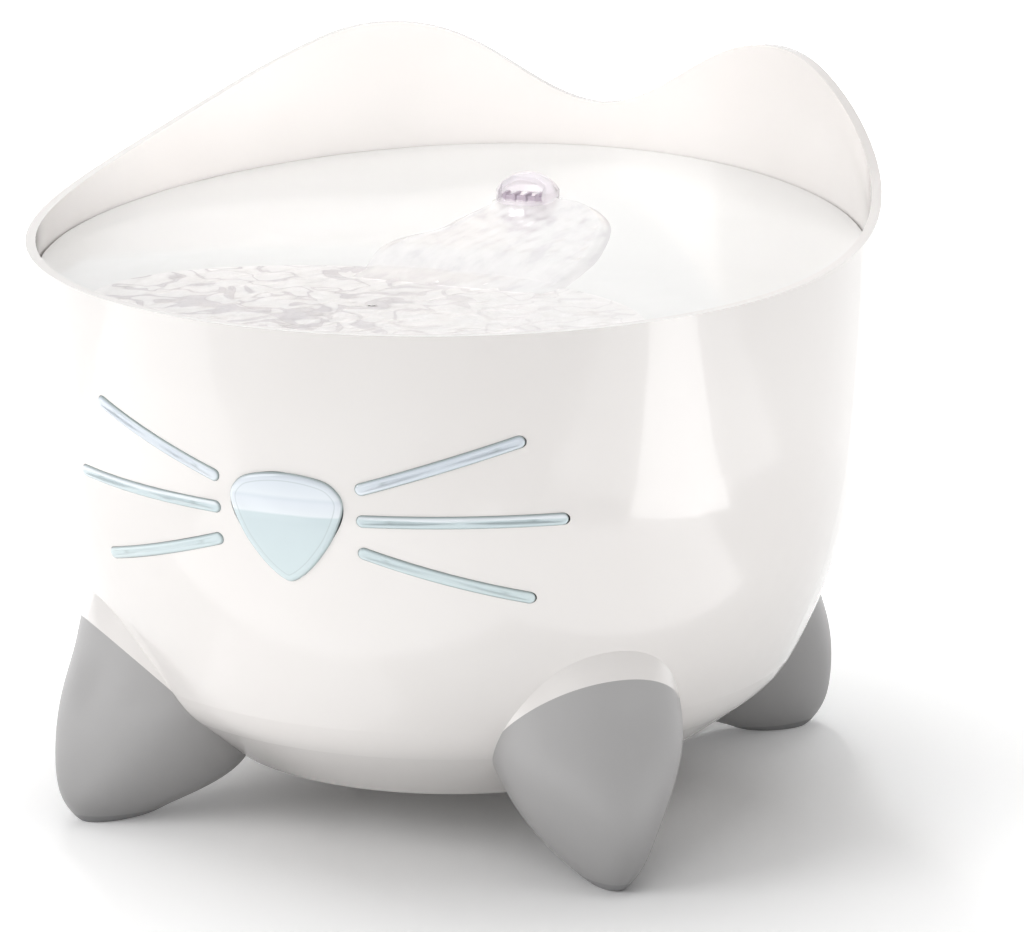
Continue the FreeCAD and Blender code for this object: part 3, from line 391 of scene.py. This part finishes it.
def dish_height(across, along):
    share = np.maximum((along + BOWL_RADIUS) / (2.0 * BOWL_RADIUS), 0.0)
    edge = DISH_FRONT + (DISH_REAR - DISH_FRONT) * share ** DISH_POWER
    away = (across / HOLLOW_HALF_WIDTH) ** 2 + ((along - HOLLOW_PLACE) / HOLLOW_HALF_LENGTH) ** 2
    return edge - HOLLOW_DEPTH * np.maximum(1.0 - away, 0.0) ** 2


# Pool pattern, a painted reflection of the ripples: how fine its patches are, how steep their edges
# and the colour of the white ones
POOL_CELLS = 78.0
RIDGE = 2.0
POOL_WHITE = (0.85, 0.83, 0.82, 1.0)

# Water edges on the dish, in millimetres from the spout down to the pool: across, along
FAN_LEFT = [(-5.6, 50.5), (-9.0, 45.0), (-11.5, 33.0), (-13.0, 21.5), (-19.0, 10.5),
            (-20.5, 0.0), (-19.5, -12.0), (-18.0, -24.0)]
FAN_RIGHT = [(6.2, 52.5), (16.0, 53.5), (24.0, 46.0), (30.8, 34.0), (35.8, 16.0),
             (38.8, -2.0), (37.5, -16.0), (34.0, -26.0)]
POOL_RINGS = 70
POOL_SIDES = 200
FAN_ROWS = 130
FAN_COLUMNS = 90


def spline(points, steps):
    """Open Catmull-Rom curve through the points, as evenly numbered places."""
    points = np.array([points[0]] + list(points) + [points[-1]], float)
    places = np.linspace(0.0, len(points) - 3.0 - 1e-9, steps)
    index = np.floor(places).astype(int)
    t = (places - index)[:, None]
    a, b, c, d = (points[index + k] for k in range(4))
    return 0.5 * (2 * b + (c - a) * t + (2 * a - 5 * b + 4 * c - d) * t * t
                  + (3 * b - a - 3 * c + d) * t ** 3)


def ripple(across, along, size, seed):
    """Uneven swell made of crossing waves, between about -1 and 1."""
    total = 0.0
    spin = np.random.RandomState(seed)
    for step in range(7):
        turn = spin.uniform(0.0, math.tau)
        length = size * spin.uniform(0.6, 1.5)
        phase = spin.uniform(0.0, math.tau)
        bend = 0.6 * np.sin(across / (1.7 * length) + step) + 0.6 * np.cos(along / (1.9 * length))
        total = total + np.sin(math.tau * (across * math.cos(turn) + along * math.sin(turn))
                               / length + phase + 2.0 * bend)
    return total / 4.0


def pool_edge(turn):
    """Distance from the pool's middle to where the dish rises out of the water."""
    low, high = 5.0, 80.0
    for _ in range(30):
        middle = (low + high) / 2.0
        height = dish_height(middle * math.sin(turn),
                             HOLLOW_PLACE - 2.0 + middle * math.cos(turn))
        if height < WATER_LEVEL:
            low = middle
        else:
            high = middle
    return high


def swell(across, along):
    """Height of the pool's ripples, in millimetres."""
    return 0.30 * ripple(across, along, 15.0, 3) + 0.12 * ripple(across, along, 6.0, 8)


def make_pool(material):
    points = []
    reach = [pool_edge(math.tau * side / POOL_SIDES) for side in range(POOL_SIDES)]
    for ring in range(1, POOL_RINGS + 1):
        share = ring / POOL_RINGS
        for side in range(POOL_SIDES):
            turn = math.tau * side / POOL_SIDES
            across = reach[side] * share * math.sin(turn)
            along = HOLLOW_PLACE - 2.0 + reach[side] * share * math.cos(turn)
            calm = min(1.0, (1.0 - share) * 12.0)
            points.append((across, along, WATER_LEVEL + calm * swell(across, along) + 0.05))
    faces = grid_faces(POOL_RINGS, POOL_SIDES, True)
    middle = HOLLOW_PLACE - 2.0
    points.append((0.0, middle, WATER_LEVEL + swell(0.0, middle) + 0.05))
    for side in range(POOL_SIDES):
        faces.append((len(points) - 1, side, (side + 1) % POOL_SIDES))
    return mesh_object("pool", points, faces, material, "dish")


def make_fan(material):
    """Sheet of water that leaves the spout's mouth and spreads down the dish into the pool."""
    left = spline(FAN_LEFT, FAN_ROWS)
    right = spline(FAN_RIGHT, FAN_ROWS)
    points = []
    values = {"side_share": [], "flow_across": [], "flow_down": [], "flow_share": []}
    run = 0.0
    for row in range(FAN_ROWS):
        down = row / (FAN_ROWS - 1.0)
        wide = float(np.linalg.norm(right[row] - left[row]))
        if row:
            run += float(np.linalg.norm((right[row] + left[row] - right[row - 1] - left[row - 1]) / 2))
        for column in range(FAN_COLUMNS):
            side = 2.0 * column / (FAN_COLUMNS - 1.0) - 1.0
            place = left[row] * (1.0 - side) / 2.0 + right[row] * (1.0 + side) / 2.0
            across, along = place
            edge = min(1.0, (1.0 - abs(side)) * 7.0)
            rim = math.exp(-((abs(side) - 0.9) / 0.06) ** 2)
            crown = 2.6 * math.exp(-(down / 0.16) ** 2) * (1.0 - side * side)
            streak = ripple(across * 1.6, along * 0.7, 7.0, 5)
            thick = edge * (0.55 + crown + 0.12 * streak + 0.35 * rim) + 0.04
            thick *= min(1.0, (1.0 - down) * 5.0)
            height = max(float(dish_height(across, along)), WATER_LEVEL + 0.05)
            points.append((across, along, height + thick))
            values["side_share"].append(abs(side))
            values["flow_across"].append(0.5 * side * wide * MM)
            values["flow_down"].append(run * MM)
            values["flow_share"].append(down)
    return mesh_object("water_fan", points, grid_faces(FAN_ROWS, FAN_COLUMNS), material, "dish",
                       values=values)


def pool_material():
    """Pool, its colour a painted reflection of the ripples: white rounded patches in a lilac-grey net
    that widens towards the left.
    """
    made = Material("pool")
    place = made.nodes.new("ShaderNodeTexCoord")
    parts = made.add("ShaderNodeSeparateXYZ", Vector=place.outputs["Object"])
    cells = made.add("ShaderNodeTexNoise", Vector=place.outputs["Object"], Scale=POOL_CELLS,
                     Detail=1.2, Distortion=0.9)
    ridge = made.nodes.new("ShaderNodeMath")
    ridge.operation = "ABSOLUTE"
    made.links.new(made.sum(cells.outputs["Fac"], -0.5 * RIDGE, RIDGE), ridge.inputs[0])
    cloud = made.noise(34.0, 1.0)
    leftness = made.spread_range(parts.outputs["X"], 0.030, -0.035)
    zone = made.add("ShaderNodeMath")
    zone.operation = "MULTIPLY"
    made.links.new(made.spread_range(cloud, 0.42, 0.60), zone.inputs[0])
    made.links.new(leftness, zone.inputs[1])
    level = made.sum(zone.outputs[0], ridge.outputs[0], -0.26)
    # Painted reflection: the lilac-grey net, with a darker line and a paler band at the edges of the
    # white patches
    shades = made.add("ShaderNodeValToRGB", Fac=made.spread_range(level, -0.26, 0.34))
    bar = shades.color_ramp
    bar.elements[0].position = 0.0
    bar.elements[0].color = rgba(0.66, 0.63, 0.64)
    bar.elements[1].position = 0.60
    bar.elements[1].color = POOL_WHITE
    for position, colour in ((0.44, rgba(0.66, 0.63, 0.64)), (0.475, rgba(0.58, 0.545, 0.56)),
                             (0.53, rgba(0.78, 0.76, 0.755))):
        stop = bar.elements.new(position)
        stop.color = colour
    net = made.tint(made.spread_range(leftness, -0.5, 0.6), POOL_WHITE, shades.outputs["Color"])
    made.set(Base_Color=net, Roughness=made.spread(cloud, 0.02, 0.08), IOR=1.33)
    made.bump(made.noise(260.0, 2.0), 0.0004, 0.35)
    return made.material


def water_material():
    """Thin running water over white plastic: streaks of painted reflection and shade along the flow,
    and a darker outline of painted shade.
    """
    made = Material("water")
    flow = made.add("ShaderNodeCombineXYZ", X=made.value("flow_across"),
                    Y=made.sum(made.value("flow_down"), 0.0, 0.38))
    streaks = made.add("ShaderNodeTexNoise", Vector=flow.outputs[0], Scale=190.0, Detail=3.0)
    # Painted reflection and shade: lilac-grey and paler streaks of the moving water
    shades = made.add("ShaderNodeValToRGB", Fac=streaks.outputs["Fac"])
    bar = shades.color_ramp
    bar.elements[0].position = 0.34
    bar.elements[0].color = rgba(0.66, 0.63, 0.645)
    bar.elements[1].position = 0.62
    bar.elements[1].color = rgba(0.80, 0.78, 0.775)
    middle = bar.elements.new(0.45)
    middle.color = rgba(0.75, 0.725, 0.725)
    # Painted shade: a darker outline along the sheet's sides, which fades out towards the pool
    rim = made.spread_range(made.value("side_share"), 0.935, 0.975)
    edged = made.tint(rim, shades.outputs["Color"], rgba(0.60, 0.575, 0.585))
    fade = made.spread_range(made.value("flow_share"), 0.55, 0.8)
    calm = made.tint(fade, edged, shades.outputs["Color"])
    made.set(Base_Color=calm, Transmission_Weight=0.35, IOR=1.25)
    made.set(Roughness=made.spread(made.noise(90.0), 0.02, 0.08))
    made.bump(streaks.outputs["Fac"], 0.0003, 0.35)
    return let_light_through(made)


# Stage

def make_camera():
    data = bpy.data.cameras.new("camera")
    data.lens = LENS_MM
    data.sensor_width = SENSOR_MM
    data.clip_start = 0.05
    data.clip_end = 20.0
    item = bpy.data.objects.new("camera", data)
    aim = Vector(CAMERA_AIM).normalized()
    item.rotation_euler = aim.to_track_quat("-Z", "Y").to_euler()
    item.location = CAMERA_PLACE
    bpy.context.scene.collection.objects.link(item)
    bpy.context.scene.camera = item


def make_floor():
    made = Material("floor")
    seen = sees_background(made.nodes, made.links)
    tone = made.add("ShaderNodeMix", Factor=seen)
    tone.data_type = "RGBA"
    tone.inputs["A"].default_value = FLOOR_COLOUR
    tone.inputs["B"].default_value = FLOOR_SHOWN
    made.set(Base_Color=tone.outputs["Result"], Roughness=0.9, Specular_IOR_Level=0.0)
    # Painted glow: for the rays that show the background, the floor shines whiter with distance from
    # the shadow's middle, which shapes the edge of its shadow
    place = made.nodes.new("ShaderNodeTexCoord")
    moved = made.add("ShaderNodeVectorMath")
    moved.operation = "ADD"
    made.links.new(place.outputs["Object"], moved.inputs[0])
    moved.inputs[1].default_value = GLOW_MIDDLE
    away = made.add("ShaderNodeVectorMath")
    away.operation = "LENGTH"
    made.links.new(moved.outputs["Vector"], away.inputs[0])
    far = made.spread_range(away.outputs["Value"], GLOW_START, GLOW_END)
    shown = made.add("ShaderNodeMath")
    shown.operation = "MULTIPLY"
    made.links.new(seen, shown.inputs[0])
    made.links.new(far, shown.inputs[1])
    glow = made.add("ShaderNodeEmission", Color=rgba(1, 1, 1), Strength=shown.outputs[0])
    both = made.nodes.new("ShaderNodeAddShader")
    made.links.new(made.shader.outputs[0], both.inputs[0])
    made.links.new(glow.outputs[0], both.inputs[1])
    made.links.new(both.outputs[0], made.nodes["Material Output"].inputs["Surface"])
    mesh = bpy.data.meshes.new("floor")
    reach = 5.0
    mesh.from_pydata([(-reach, -reach, 0), (reach, -reach, 0), (reach, reach, 0),
                      (-reach, reach, 0)], [], [(0, 1, 2, 3)])
    floor = bpy.data.objects.new("floor", mesh)
    floor.data.materials.append(made.material)
    bpy.context.scene.collection.objects.link(floor)


def make_world():
    world = bpy.data.worlds.new("studio")
    bpy.context.scene.world = world
    world.use_nodes = True
    nodes = world.node_tree.nodes
    links = world.node_tree.links
    mix = nodes.new("ShaderNodeMix")
    mix.inputs["A"].default_value = WORLD_LIGHT
    mix.inputs["B"].default_value = 1.0
    links.new(sees_background(nodes, links), mix.inputs["Factor"])
    background = nodes["Background"]
    background.inputs["Color"].default_value = rgba(1, 1, 1)
    links.new(mix.outputs["Result"], background.inputs["Strength"])


# Below this height, in metres, a lamp lies on the floor and faces up
ON_FLOOR = 0.01
# Lamps with a narrower beam than this, in degrees, aren't mirrored in gloss
NARROW_BEAM = 90.0


def area_light(name, place, aim, width, tall, power, spread=180.0):
    """A softbox at a place in metres that faces a point; spread is its beam in degrees."""
    data = bpy.data.lights.new(name, "AREA")
    data.shape = "RECTANGLE"
    data.size = width
    data.size_y = tall
    data.energy = power
    data.spread = math.radians(spread)
    item = bpy.data.objects.new(name, data)
    item.location = place
    direction = Vector(aim) - item.location
    item.rotation_euler = direction.to_track_quat("-Z", "Y").to_euler()
    if place[2] < ON_FLOOR:
        item.rotation_euler = (math.pi, 0.0, math.atan2(place[1], place[0]) + math.pi / 2.0)
    item.visible_camera = False
    item.visible_glossy = spread > NARROW_BEAM
    bpy.context.scene.collection.objects.link(item)


def around(azimuth, distance, height):
    """Place round the bowl; azimuth is in degrees from the front, towards +X."""
    angle = math.radians(azimuth)
    return (distance * math.sin(angle), -distance * math.cos(angle), height)


MIDDLE = (0.0, 0.0, 0.09)

# Lamps: name, place, aim, width, height, power and, for the narrow ones, the beam in degrees
LIGHTS = [
    ("left_front_box", around(-45, 1.7, 0.80), MIDDLE, 1.0, 1.0, 11.6),
    ("front_low", around(10, 1.9, 0.30), MIDDLE, 1.4, 0.5, 0.693),
    ("top_box", (0.0, 0.1, 1.7), MIDDLE, 1.2, 1.2, 8.8),
    ("inner_glow", (0.09, -0.09, 0.19), (-0.095, 0.045, 0.176), 0.10, 0.02, 0.0238, 40.0),
    ("inner_front_glow", (0.02, -0.13, 0.19), (0.0, 0.11, 0.176), 0.08, 0.02, 0.014, 40.0),
    ("inner_side_glow", (-0.10, -0.08, 0.19), (0.10, 0.035, 0.172), 0.08, 0.02, 0.0055, 40.0),
    ("dish_glow", (-0.30, 0.50, 0.65), (0.065, -0.04, 0.14), 0.3, 0.3, 0.10, 22.0),
    ("strip_below", around(77, 0.77, 0.004), MIDDLE, 0.14, 1.0, 1.4),
    ("strip_soft", around(77, 0.80, 0.004), MIDDLE, 0.40, 1.0, 0.982),
    ("left_strip", around(-58, 0.80, 0.004), MIDDLE, 0.36, 1.0, 1.0),
    ("front_under", around(0, 0.21, 0.004), MIDDLE, 0.34, 0.14, 0.133),
    ("bottom_glow", around(-15, 0.125, 0.004), MIDDLE, 0.10, 0.05, 0.006),
    ("left_under", around(-60, 0.21, 0.004), MIDDLE, 0.26, 0.14, 0.0026),
    ("right_under", around(62, 0.21, 0.004), MIDDLE, 0.20, 0.12, 0.072),
]


def make_lights():
    for light in LIGHTS:
        area_light(*light)


def window_material():
    """Pale blue plastic that paints the view through it: paler above the water line behind it, with a
    painted light band just over that line, and greyer at its rounded edge as painted shade.
    """
    made = Material("window_blue")
    place = made.nodes.new("ShaderNodeTexCoord")
    parts = made.add("ShaderNodeSeparateXYZ", Vector=place.outputs["Object"])
    wave = made.noise(60.0, 1.0)
    level = made.spread_range(made.sum(wave, parts.outputs["Z"], 0.0012), 0.0800, 0.1090)
    # Painted see-through view: darker just below the water line, a painted light band just over it,
    # paler above
    shades = made.add("ShaderNodeValToRGB", Fac=level)
    bar = shades.color_ramp
    bar.elements[0].position = 0.0
    bar.elements[0].color = rgba(0.62, 0.72, 0.74)
    bar.elements[1].position = 1.0
    bar.elements[1].color = rgba(0.66, 0.72, 0.79)
    for position, colour in ((0.56, rgba(0.58, 0.68, 0.71)), (0.62, rgba(0.60, 0.70, 0.73)),
                             (0.64, rgba(0.79, 0.84, 0.88)), (0.74, rgba(0.75, 0.80, 0.86)),
                             (0.77, rgba(0.70, 0.76, 0.82)), (0.80, rgba(0.78, 0.83, 0.88))):
        stop = bar.elements.new(position)
        stop.color = colour
    # Painted shade: grey at the rounded edge and a thin grey line just inside it, by distance from the
    # outline
    line = made.add("ShaderNodeValToRGB", Fac=made.spread_range(made.value("inset"), 0.0, 4.0))
    bar = line.color_ramp
    bar.elements[0].position = 0.04
    bar.elements[0].color = rgba(0.0, 0.0, 0.0)
    bar.elements[1].position = 0.13
    bar.elements[1].color = rgba(1.0, 1.0, 1.0)
    for position, shade in ((0.43, 1.0), (0.48, 0.55), (0.54, 1.0)):
        stop = bar.elements.new(position)
        stop.color = rgba(shade, shade, shade)
    edged = made.tint(line.outputs["Color"], rgba(0.38, 0.45, 0.46), shades.outputs["Color"])
    made.set(Base_Color=edged, Roughness=made.spread(wave, 0.05, 0.12),
             Coat_Weight=0.4, Coat_Roughness=0.03, Specular_IOR_Level=0.5)
    made.bump(made.noise(160.0, 2.0), 0.00005, 0.5)
    return made.material


def make_windows():
    glass = window_material()
    nose = NOSE_HALF + [(-across, height) for across, height in reversed(NOSE_HALF[1:-1])]
    lens = window_lens("nose_lens", smooth_outline(nose, 10), WINDOW_DEPTH, glass,
                       1.0, 1.5, NOSE_EDGE_LINES)
    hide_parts("nose_window")
    for side, node in ((1, "whisker_windows_right"), (-1, "whisker_windows_left")):
        for index, line in enumerate(WHISKERS):
            outline = whisker_outline([(side * a, h) for a, h in line])
            bar = window_lens("%s_%d" % (node, index), outline, WINDOW_DEPTH, glass, 0.6, 1.0)
            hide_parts(node)


def soft_ring(name, node, material, grain):
    """Soft ring-shaped piece in the room of its CAD node, with a rounded, uneven skin."""
    low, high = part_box(node)
    middle = (low + high) / 2.0
    inner, outer = (FLEECE_HOLE_RADIUS, (high.x - low.x) / 2.0)
    half = (high.z - low.z) / 2.0
    points = []
    rounds = 20
    sides = 96
    for side in range(sides):
        turn = math.tau * side / sides
        for step in range(rounds):
            corner = math.tau * step / rounds
            wide = math.copysign(abs(math.cos(corner)) ** 0.3, math.cos(corner))
            tall = math.copysign(abs(math.sin(corner)) ** 0.3, math.sin(corner))
            radius = (inner + outer) / 2.0 + (outer - inner) / 2.0 * wide
            radius -= grain * (1.0 + math.sin(9.0 * turn + 3.0 * corner)) / 2.0 * abs(wide)
            points.append((middle.x + radius * math.cos(turn), middle.y + radius * math.sin(turn),
                           middle.z + half * tall))
    faces = []
    for side in range(sides):
        for step in range(rounds):
            after = (step + 1) % rounds
            other = (side + 1) % sides
            faces.append((side * rounds + step, other * rounds + step,
                          other * rounds + after, side * rounds + after))
    piece = mesh_object(name, points, faces, material, "filter", 1.0)
    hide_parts(node)


def soft_plug(name, node, material, body):
    """Soft block with rounded edges in the room of its CAD node."""
    low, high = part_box(node)
    middle = (low + high) / 2.0
    half = (high - low) / 2.0
    rows = 24
    sides = 48
    points = []
    for row in range(rows + 1):
        lean = math.pi * row / rows - math.pi / 2.0
        for side in range(sides):
            turn = math.tau * side / sides
            shape = (math.sin(lean), math.cos(lean) * math.cos(turn),
                     math.cos(lean) * math.sin(turn))
            place = [math.copysign(abs(c) ** 0.25, c) for c in shape]
            points.append(tuple(middle[k] + half[k] * 0.995 * place[k] for k in range(3)))
    piece = mesh_object(name, points, grid_faces(rows + 1, sides, True), material, body, 1.0)
    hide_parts(node)


def whisker_outline(line):
    """Bar with round ends along an arc through three points."""
    a, b, c = (np.array(p) for p in line)
    steps = 24
    middle = []
    for step in range(steps + 1):
        t = step / steps
        middle.append(a * (1 - t) * (1 - 2 * t) + b * 4 * t * (1 - t) + c * t * (2 * t - 1))
    middle = np.array(middle)
    along = np.gradient(middle, axis=0)
    along /= np.linalg.norm(along, axis=1)[:, None]
    normal = np.stack([-along[:, 1], along[:, 0]], 1)
    half = WHISKER_WIDTH / 2.0
    one = middle + normal * half
    other = (middle - normal * half)[::-1]
    ends = []
    for centre, direction, first in ((middle[-1], along[-1], normal[-1]),
                                     (middle[0], -along[0], -normal[0])):
        arc = [centre + half * (first * math.cos(t) + direction * math.sin(t))
               for t in np.linspace(0, math.pi, 10)[1:-1]]
        ends.append(np.array(arc))
    return np.vstack([one, ends[0], other, ends[1]])


bpy.context.scene.view_settings.view_transform = "Standard"
make_camera()
make_world()
make_lights()
make_floor()
materials = make_materials()
dress_nodes(materials)
make_windows()
make_pool(pool_material())
make_fan(water_material())
soft_ring("filter_fleece", "filter_pad", materials["fleece"], 0.0004)
soft_plug("intake_sponge", "intake_foam", materials["foam"], "intake_cap")
